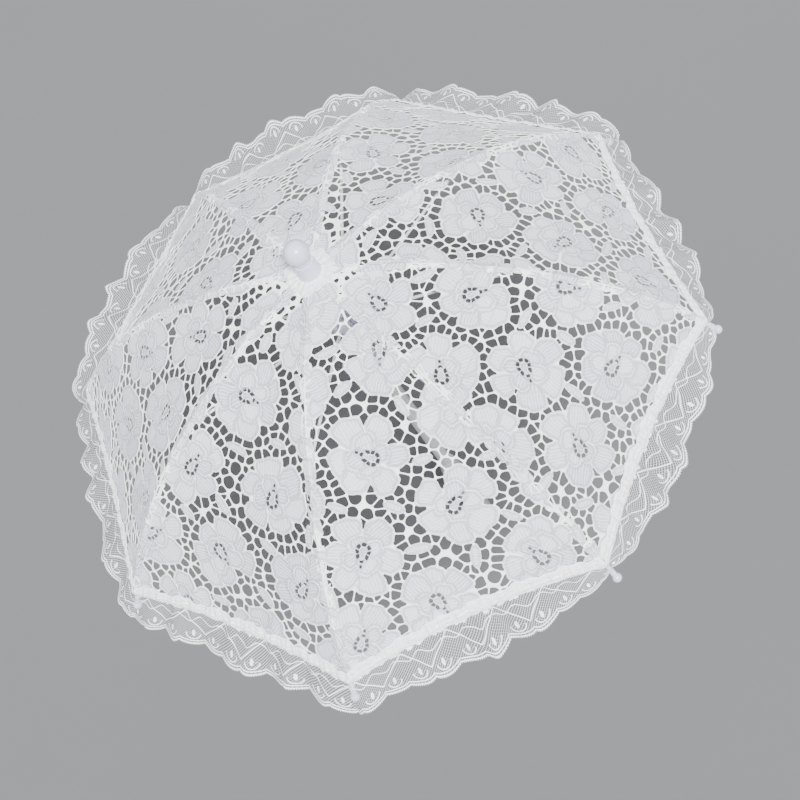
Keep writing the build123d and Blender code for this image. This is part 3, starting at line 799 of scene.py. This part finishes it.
def model_binding(name, turns):
    """Oval turns of thread round the X axis, with a knot below."""
    bpy.ops.object.select_all(action="DESELECT")
    bpy.ops.mesh.primitive_torus_add(major_segments=24, minor_segments=6, rotation=(0, math.pi / 2, 0),
                                     major_radius=OVAL_HIGH * MM, minor_radius=THREAD * MM)
    binding = bpy.context.object
    binding.name = name
    bpy.ops.object.transform_apply(location=True, rotation=True, scale=True)
    bpy.ops.object.mode_set(mode="EDIT")
    bpy.ops.mesh.select_all(action="SELECT")
    bpy.ops.transform.resize(value=(1.0, OVAL_WIDE / OVAL_HIGH, 1.0))
    for turn in range(turns - 1):
        step = (TURN_PITCH * MM, 0, (TURN_SHIFT if turn % 2 else -TURN_SHIFT) * MM)
        bpy.ops.mesh.duplicate_move(TRANSFORM_OT_translate={"value": step})
    knot_place = (TURN_PITCH / 2 * (turns - 1) * MM, 0, -OVAL_HIGH * MM)
    bpy.ops.mesh.primitive_ico_sphere_add(subdivisions=2, radius=KNOT_RADIUS * MM, location=knot_place)
    bpy.ops.transform.resize(value=KNOT_SHAPE)
    bpy.ops.object.mode_set(mode="OBJECT")
    bpy.ops.object.shade_smooth()
    return binding


tip_binding = model_binding("tip_binding", TIP_TURNS)
loop_binding = model_binding("loop_binding", LOOP_TURNS)
print("tip binding", len(tip_binding.data.polygons), "faces, loop", len(loop_binding.data.polygons))

# %% Tie every rib
TIE_LIFT = 1.2  # the middle of the loops above the middle of the wire
TIP_TIE_RADIUS = 218.0
TIES = (
    ("rib_inner", loop_binding, 0.55 * bend_slope),
    ("rib_outer", loop_binding, bend_slope + 0.22),
    ("rib_outer", tip_binding, float(np.interp(TIP_TIE_RADIUS, line_r, slopes))),
)


def tie(part, binding, slope, rib):
    """One binding, copied to its place on a rib."""
    r, z = (float(v) for v in rib_line(slope, TIE_LIFT))
    place = Matrix.Rotation(2 * HALF_TURN * rib, 4, "Z") @ Matrix.Translation((r * MM, 0, z * MM))
    mesh = binding.data.copy()
    mesh.transform(place @ Matrix.Rotation(slope, 4, "Y"))
    kind = "tip" if binding is tip_binding else "seam"
    piece = put_in_scene(f"{kind}_tie_{part}_{rib + 1}", mesh)
    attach(piece, f"{part}_{rib + 1}")
    return piece


ties = [tie(*kind, rib) for kind in TIES for rib in range(RIBS)]
for model in (tip_binding, loop_binding):
    bpy.data.objects.remove(model, do_unlink=True)
print(len(ties), "ties")

# %% [markdown]
# ## Finishes
#
# Small helpers keep each node tree readable: one makes a Math node, one a smooth step, one a colour
# between two others. Patterns that follow the cloth read the fields that the mesh carries, and the
# rest is noise over the piece's own coordinates, so nothing slides when a piece moves.

# %% Node helpers
def calc(tree, operation, a, b=0.0, clamp=False):
    """One Math node, from sockets or numbers, and its output."""
    node = tree.nodes.new("ShaderNodeMath")
    node.operation = operation
    node.use_clamp = clamp
    for socket, value in zip(node.inputs, (a, b)):
        if isinstance(value, bpy.types.NodeSocket):
            tree.links.new(value, socket)
        else:
            socket.default_value = value
    return node.outputs[0]


def times(tree, a, b):
    """The product of two values."""
    return calc(tree, "MULTIPLY", a, b)


def plus(tree, a, b):
    """The sum of two values."""
    return calc(tree, "ADD", a, b)


def less(tree, a, b):
    """The first value less the second."""
    return calc(tree, "SUBTRACT", a, b)


def ramp(tree, value, low, high, to_low=0.0, to_high=1.0):
    """A smooth step of a value from low to high."""
    node = tree.nodes.new("ShaderNodeMapRange")
    node.interpolation_type = "SMOOTHSTEP"
    for name, limit in zip(("From Min", "From Max", "To Min", "To Max"), (low, high, to_low, to_high)):
        node.inputs[name].default_value = limit
    tree.links.new(value, node.inputs["Value"])
    return node.outputs["Result"]


def blended(tree, share, low, high):
    """A colour between two others, which are sockets or plain colours."""
    node = tree.nodes.new("ShaderNodeMix")
    node.data_type = "RGBA"
    tree.links.new(share, node.inputs["Factor"])
    for socket, colour in ((node.inputs[6], low), (node.inputs[7], high)):
        if isinstance(colour, bpy.types.NodeSocket):
            tree.links.new(colour, socket)
        else:
            socket.default_value = (*colour, 1)
    return node.outputs[2]


def field(tree, name):
    """A value that the mesh carries."""
    node = tree.nodes.new("ShaderNodeAttribute")
    node.attribute_name = name
    return node.outputs["Fac"]


def noise(tree, scale, detail=3.0):
    """Noise over the piece, in its own coordinates. Scale is in cells to the metre."""
    where = tree.nodes.new("ShaderNodeTexCoord")
    node = tree.nodes.new("ShaderNodeTexNoise")
    node.inputs["Scale"].default_value = scale
    node.inputs["Detail"].default_value = detail
    tree.links.new(where.outputs["Object"], node.inputs["Vector"])
    return node.outputs["Fac"]


def finish(name, roughness, **constants):
    """A new material, its node tree and its shader, with the shader's constants set."""
    material = bpy.data.materials.new(name)
    material.use_nodes = True
    tree = material.node_tree
    shader = tree.nodes["Principled BSDF"]
    shader.inputs["Roughness"].default_value = roughness
    for socket, value in constants.items():
        shader.inputs[socket.replace("_", " ")].default_value = value
    return material, tree, shader


def paint(tree, shader, share, low, high):
    """Base colour between two others."""
    tree.links.new(blended(tree, share, low, high), shader.inputs["Base Color"])


def raise_surface(tree, shader, height, distance, strength=1.0):
    """Bump, in metres of height."""
    bump = tree.nodes.new("ShaderNodeBump")
    bump.inputs["Distance"].default_value = distance
    bump.inputs["Strength"].default_value = strength
    tree.links.new(height, bump.inputs["Height"])
    tree.links.new(bump.outputs["Normal"], shader.inputs["Normal"])


# %% [markdown]
# ## Effects that several finishes share
#
# All the cloth is spun from the same kind of yarn, and all the hard parts have the same faint
# clouds and pits. Each of these two effects is a node group, built once, and every finish places it
# with its own sizes.

# %% Shared groups
def new_group(name, inputs, outputs):
    """An empty node group with number inputs and outputs."""
    group = bpy.data.node_groups.new(name, "ShaderNodeTree")
    for socket in inputs:
        group.interface.new_socket(socket, in_out="INPUT", socket_type="NodeSocketFloat")
    for socket in outputs:
        group.interface.new_socket(socket, in_out="OUTPUT", socket_type="NodeSocketFloat")
    return group, group.nodes.new("NodeGroupInput"), group.nodes.new("NodeGroupOutput")


def yarn_group():
    """Fine twisted yarn: a height and a tone from two sizes of noise."""
    group, given, put = new_group("yarn_grain", ("Coarse", "Fine"), ("Height", "Tone"))
    where = group.nodes.new("ShaderNodeTexCoord")
    found = []
    for size in ("Coarse", "Fine"):
        grain = group.nodes.new("ShaderNodeTexNoise")
        grain.inputs["Detail"].default_value = 2.0
        group.links.new(where.outputs["Object"], grain.inputs["Vector"])
        group.links.new(given.outputs[size], grain.inputs["Scale"])
        found.append(grain.outputs["Fac"])
    coarse, fine = times(group, found[0], 0.6), times(group, found[1], 0.4)
    group.links.new(plus(group, coarse, fine), put.inputs["Height"])
    group.links.new(ramp(group, found[0], 0.3, 0.7), put.inputs["Tone"])
    return group


def mottle_group():
    """Faint clouds and small pits, for moulded and painted surfaces."""
    group, given, put = new_group("mottle", ("Cloud", "Pits"), ("Cloudiness", "Pitting"))
    where = group.nodes.new("ShaderNodeTexCoord")
    for size, socket, *limits in (("Cloud", "Cloudiness", 0.3, 0.7), ("Pits", "Pitting", 0.45, 0.75)):
        grain = group.nodes.new("ShaderNodeTexNoise")
        grain.inputs["Detail"].default_value = 4.0
        group.links.new(where.outputs["Object"], grain.inputs["Vector"])
        group.links.new(given.outputs[size], grain.inputs["Scale"])
        group.links.new(ramp(group, grain.outputs["Fac"], *limits), put.inputs[socket])
    return group


YARN, MOTTLE = yarn_group(), mottle_group()


def placed(tree, group, **values):
    """The outputs of a shared group, placed in a material with its own values."""
    node = tree.nodes.new("ShaderNodeGroup")
    node.node_tree = group
    for name, value in values.items():
        node.inputs[name].default_value = value
    return node.outputs


# %% [markdown]
# ## The lace's finish
#
# Cotton lace is thick and white in its cords and net, and thin and cooler where a petal is filled
# with stitches, with veins that run outwards. Beside each raised cord a narrow band of the filling
# is darker: that is painted shadow of the cord. An image of cloth could show all this, but a field
# that the mesh carries keeps each stroke on its own petal, at any distance.

# %% Lace: bright cords and net, cooler filling stitches
WHITE_YARN, THIN_YARN = (0.95, 0.955, 0.97), (0.80, 0.82, 0.87)
GRAIN = {"Coarse": 900.0, "Fine": 2600.0}


def lace_finish():
    """Cotton lace: petals filled with thin stitches in veins, and outlined with raised cords."""
    material, tree, shader = finish("lace_cloth", 0.72, Sheen_Weight=0.25, Sheen_Roughness=0.4)
    yarn = placed(tree, YARN, **GRAIN)
    off_cord, motifs = field(tree, "cord"), field(tree, "motif")
    cords = ramp(tree, off_cord, 0.2, 0.52, 1.0, 0.0)
    # beside is a band from half a millimetre to two off each cord, where the raised cord's shadow is
    # painted
    clear_of_it, near_it = ramp(tree, off_cord, 0.5, 0.8), ramp(tree, off_cord, 1.1, 2.2, 1.0, 0.0)
    beside = times(tree, clear_of_it, near_it)
    waver = times(tree, noise(tree, 140.0), 11.0)
    streak = calc(tree, "SINE", plus(tree, times(tree, field(tree, "weave"), 3.3), waver))
    streaks = times(tree, ramp(tree, streak, -0.2, 0.9), motifs)
    tint = blended(tree, field(tree, "shade"), (0.36, 0.40, 0.48), (0.56, 0.60, 0.68))
    streaked = blended(tree, times(tree, streaks, 0.6), tint, (0.78, 0.81, 0.86))
    yarned = blended(tree, times(tree, yarn["Tone"], 0.25), streaked, (0.93, 0.94, 0.96))
    # painted shadow: in that band beside the cords the filling is darkened half way to a deep blue-grey
    thin = blended(tree, times(tree, beside, 0.5), yarned, (0.24, 0.27, 0.34))
    solid = calc(tree, "MAXIMUM", cords, less(tree, 1.0, motifs))
    paint(tree, shader, solid, thin, WHITE_YARN)
    height = plus(tree, times(tree, cords, 1.3), times(tree, streaks, 0.22))
    height = plus(tree, height, times(tree, yarn["Height"], 0.35))
    raise_surface(tree, shader, height, 0.00045, 0.9)
    return material


# %% [markdown]
# ## The finish of the hem and the rosette
#
# Folded lace is nearly solid, because the holes of one layer lie over threads of another. Two rows
# of dashes are the topstitching. They follow the fields "along" and "up", which count millimetres
# on the band, so the stitches keep their length round every pucker.

# %% Hem and rosette: folded cloth with two rows of stitches
STITCH_ROWS = (0.8, 4.2)


def hem_finish():
    """Doubled lace, topstitched in two rows, with puckers between the stitches."""
    material, tree, shader = finish("hem_cloth", 0.75, Sheen_Weight=0.25, Sheen_Roughness=0.4)
    yarn = placed(tree, YARN, Coarse=700.0, Fine=2300.0)
    along, up = field(tree, "along"), field(tree, "up")
    dash = ramp(tree, calc(tree, "SINE", times(tree, along, 2.6)), -0.35, 0.1)
    rows = []
    for row in STITCH_ROWS:
        off_row = calc(tree, "ABSOLUTE", less(tree, up, row))
        rows.append(ramp(tree, off_row, 0.18, 0.42, 1.0, 0.0))
    in_row = calc(tree, "MAXIMUM", *rows)
    stitch, sunk = times(tree, in_row, dash), times(tree, in_row, -0.6)
    show = ramp(tree, noise(tree, 420.0, 2.0), 0.42, 0.6)
    cloth = blended(tree, show, THIN_YARN, WHITE_YARN)
    paint(tree, shader, stitch, cloth, (0.97, 0.97, 0.98))
    height = plus(tree, plus(tree, stitch, sunk), times(tree, yarn["Height"], 0.6))
    height = plus(tree, height, times(tree, show, 0.35))
    raise_surface(tree, shader, height, 0.00045, 0.9)
    return material


# %% [markdown]
# ## The trim's finish
#
# The net is two slanting sets of fine threads, which are sines of the flat place turned into thin
# lines, and Alpha opens the gaps. Zigzags, crescents, vine and border lines are where a distance is
# nearly zero. The fringe of picots is a row of short teeth outside the last border line.

# %% Trim: fine net, embroidery and picots
NET_PITCH, PICOT_PITCH = 2.5, 1.5
NET_SHARE = 0.72  # how much of the light the net's threads stop
DRAWN_LINES = (  # field, its value on the line, and half the line's width
    ("edge", 1.3, 0.45),
    ("edge", 3.6, 0.36),
    ("zigzag", 0.0, 0.5),
    ("moon", 0.0, 0.34),
    ("vine", 0.0, 0.3),
)


def trim_finish():
    """Fine slanting net that can be seen through, with solid embroidery and a fringe of picots."""
    material, tree, shader = finish("trim_net", 0.7, Sheen_Weight=0.2, Sheen_Roughness=0.4)
    u, y, edge = field(tree, "u"), field(tree, "y"), field(tree, "edge")
    across = []
    for way, thread in (("ADD", 0.2), ("SUBTRACT", 0.03)):
        slant = calc(tree, "SINE", times(tree, calc(tree, way, u, y), math.pi / NET_PITCH))
        across.append(ramp(tree, calc(tree, "ABSOLUTE", slant), thread, thread + 0.2, 1.0, 0.0))
    net_threads = calc(tree, "MAXIMUM", *across)
    drawn = []
    for name, at, half in DRAWN_LINES:
        off = calc(tree, "ABSOLUTE", less(tree, field(tree, name), at))
        drawn.append(ramp(tree, off, half, half + 0.25, 1.0, 0.0))
    drawn.append(ramp(tree, field(tree, "leaf"), 0.0, 0.25, 1.0, 0.0))
    gathers = plus(tree, times(tree, noise(tree, 260.0, 2.0), 9.0), -1.5)
    drawn.append(ramp(tree, less(tree, y, gathers), -0.6, 1.0, 1.0, 0.0))
    solid = drawn[0]
    for layer in drawn[1:]:
        solid = calc(tree, "MAXIMUM", solid, layer)
    fringe = ramp(tree, calc(tree, "SINE", times(tree, u, 2 * math.pi / PICOT_PITCH)), 0.1, 0.5)
    body = ramp(tree, edge, 0.75, 0.95)
    threads = calc(tree, "MAXIMUM", times(tree, net_threads, NET_SHARE), solid)
    picots = times(tree, fringe, less(tree, 1.0, body))
    shown = calc(tree, "ADD", times(tree, threads, body), picots, clamp=True)
    tree.links.new(shown, shader.inputs["Alpha"])
    paint(tree, shader, solid, THIN_YARN, (0.96, 0.965, 0.975))
    yarn = placed(tree, YARN, **GRAIN)
    height = plus(tree, solid, times(tree, yarn["Height"], 0.4))
    raise_surface(tree, shader, height, 0.0004, 0.8)
    return material


# %% Sewing thread: soft twisted cotton
def thread_finish():
    """The cotton of the ties, with a finer grain than the lace's."""
    material, tree, shader = finish("sewing_thread", 0.65, Sheen_Weight=0.3, Sheen_Roughness=0.4)
    yarn = placed(tree, YARN, Coarse=1500.0, Fine=4200.0)
    paint(tree, shader, yarn["Tone"], (0.80, 0.82, 0.86), (0.94, 0.945, 0.955))
    raise_surface(tree, shader, yarn["Height"], 0.0002, 0.8)
    return material


# %% [markdown]
# ## Finishes of the hard parts
#
# The ferrule, the handle and the hubs are cool white moulded plastic with a soft gloss. The ribs,
# the stretchers and the shaft are steel under white enamel, a little thick and orange-peeled. The
# catches, pins and tie wires are bright drawn steel. All three are one tree with other values:
# clouds in the colour, and gloss and bump that change a little over the surface, because nothing
# real is equally smooth all over.

# %% Plastic, enamel and steel
def mottled_finish(name, sizes, colours, rough_by, rough, bump, **constants):
    """A hard surface. sizes are of clouds and pits, and bump is a height and a strength."""
    material, tree, shader = finish(name, rough[0], **constants)
    mottle = placed(tree, MOTTLE, Cloud=sizes[0], Pits=sizes[1])
    paint(tree, shader, mottle["Cloudiness"], *colours)
    tree.links.new(ramp(tree, mottle[rough_by], 0.0, 1.0, *rough), shader.inputs["Roughness"])
    raise_surface(tree, shader, mottle["Pitting"], *bump)
    return material


PLASTIC = mottled_finish(
    "white_plastic", (60.0, 1400.0), ((0.54, 0.57, 0.70), (0.60, 0.63, 0.76)), "Pitting", (0.24, 0.36),
    (0.00004, 0.5), Specular_IOR_Level=0.5, Coat_Weight=0.15, IOR=1.49)
ENAMEL = mottled_finish(
    "white_enamel", (120.0, 700.0), ((0.78, 0.80, 0.84), (0.87, 0.88, 0.90)), "Cloudiness", (0.34, 0.5),
    (0.00006, 0.6), Coat_Weight=0.3, Coat_Roughness=0.2)
STEEL = mottled_finish(
    "bright_steel", (300.0, 2500.0), ((0.58, 0.59, 0.61), (0.70, 0.71, 0.73)), "Pitting", (0.22, 0.42),
    (0.00003, 0.6), Metallic=1.0)

# %% Give every piece its finish
PLASTIC_NODES = ("handle", "ferrule", "crown", "runner", "rib_tip")
STEEL_NODES = ("cross_pins", "crown_wire", "runner_wire", "upper_catch", "lower_catch")


def cover(piece, material):
    """Leaves that one material on a piece."""
    piece.data.materials.clear()
    piece.data.materials.append(material)


CLOTH_FINISHES = (
    (gores + seams, lace_finish()),
    (hems + [rosette], hem_finish()),
    (ruffles, trim_finish()),
    (ties, thread_finish()),
)
for pieces, material in CLOTH_FINISHES:
    for piece in pieces:
        cover(piece, material)
for name, node in frame["nodes"].items():
    if name.startswith(PLASTIC_NODES):
        cover(node, PLASTIC)
    elif name.startswith(STEEL_NODES):
        cover(node, STEEL)
    else:
        cover(node, ENAMEL)
made = sum(len(pieces) for pieces, material in CLOTH_FINISHES)
print("finishes on", len(frame["nodes"]), "frame nodes and", made, "pieces of cloth and thread")

# %% [markdown]
# ## Floor, light and camera
#
# The parasol stands on the end of its handle, on a plain matt floor that is grey enough for white
# lace and its holes to stand out. One broad sun-like light comes from high in front, so the floor
# is lit evenly as far as it can be seen, and two weak soft boxes, at the left and behind, lift the
# shadows. The camera looks down at the canopy from a little under one metre, turned about its own
# axis so that the shaft leans.

# %% Floor
FLOOR_SIZE = 40.0


def make_floor():
    """A plain matt floor, at the lower end of the handle."""
    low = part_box("handle")[0].z
    bpy.ops.object.select_all(action="DESELECT")
    bpy.ops.mesh.primitive_plane_add(size=FLOOR_SIZE, location=(0, 0, low))
    floor = bpy.context.object
    floor.name = "floor"
    material, tree, shader = finish("floor_matt", 0.85)
    paint(tree, shader, noise(tree, 3.0), (0.108, 0.111, 0.116), (0.114, 0.117, 0.122))
    cover(floor, material)


make_floor()

# %% Lights
SOFTBOX_AIM = Vector((0, 0, 0.28))
SUN_POWER, SUN_ANGLE, SUN_WAY = 11.0, math.radians(16.0), Vector((-0.72, 0.8, -1.5))
STUDIO_COLOUR, STUDIO_POWER = (0.93, 0.96, 1.0, 1), 0.33


def add_softbox(name, place, size, power):
    """An area light that faces the canopy."""
    light = bpy.data.lights.new(name, "AREA")
    light.size = size
    light.energy = power
    holder = put_in_scene(name, light)
    holder.location = place
    holder.rotation_euler = (SOFTBOX_AIM - Vector(place)).to_track_quat("-Z", "Y").to_euler()


key = bpy.data.lights.new("key", "SUN")
key.energy, key.angle = SUN_POWER, SUN_ANGLE
key_holder = put_in_scene("key", key)
key_holder.rotation_euler = SUN_WAY.to_track_quat("-Z", "Y").to_euler()
add_softbox("fill", (-1.2, -0.5, 1.2), 1.2, 5.0)
add_softbox("back", (0.2, 1.3, 1.0), 0.8, 6.0)
world = bpy.data.worlds.new("studio")
bpy.context.scene.world = world
world.use_nodes = True
sky = world.node_tree.nodes["Background"]
sky.inputs["Color"].default_value = STUDIO_COLOUR
sky.inputs["Strength"].default_value = STUDIO_POWER
print("a sun of", SUN_POWER, "and two soft boxes")

# %% Camera
AIM = Vector((16.5, -26.5, 217.6)) * MM
DISTANCE, AZIMUTH, ELEVATION, ROLL = 0.877, 34.66, 56.68, 35.96
LENS, SENSOR = 59.3, 36.0
camera_data = bpy.data.cameras.new("camera")
camera_data.lens, camera_data.sensor_width = LENS, SENSOR
camera = put_in_scene("camera", camera_data)
a, e = math.radians(AZIMUTH), math.radians(ELEVATION)
back = Vector((math.sin(a) * math.cos(e), -math.cos(a) * math.cos(e), math.sin(e)))
roll = Matrix.Rotation(-math.radians(ROLL), 4, "Z")
turn = (-back).to_track_quat("-Z", "Y").to_matrix().to_4x4() @ roll
camera.matrix_world = Matrix.Translation(AIM + back * DISTANCE) @ turn
bpy.context.scene.camera = camera
print("camera", [round(v, 3) for v in camera.location])

# %% Update the scene
bpy.context.view_layer.update()
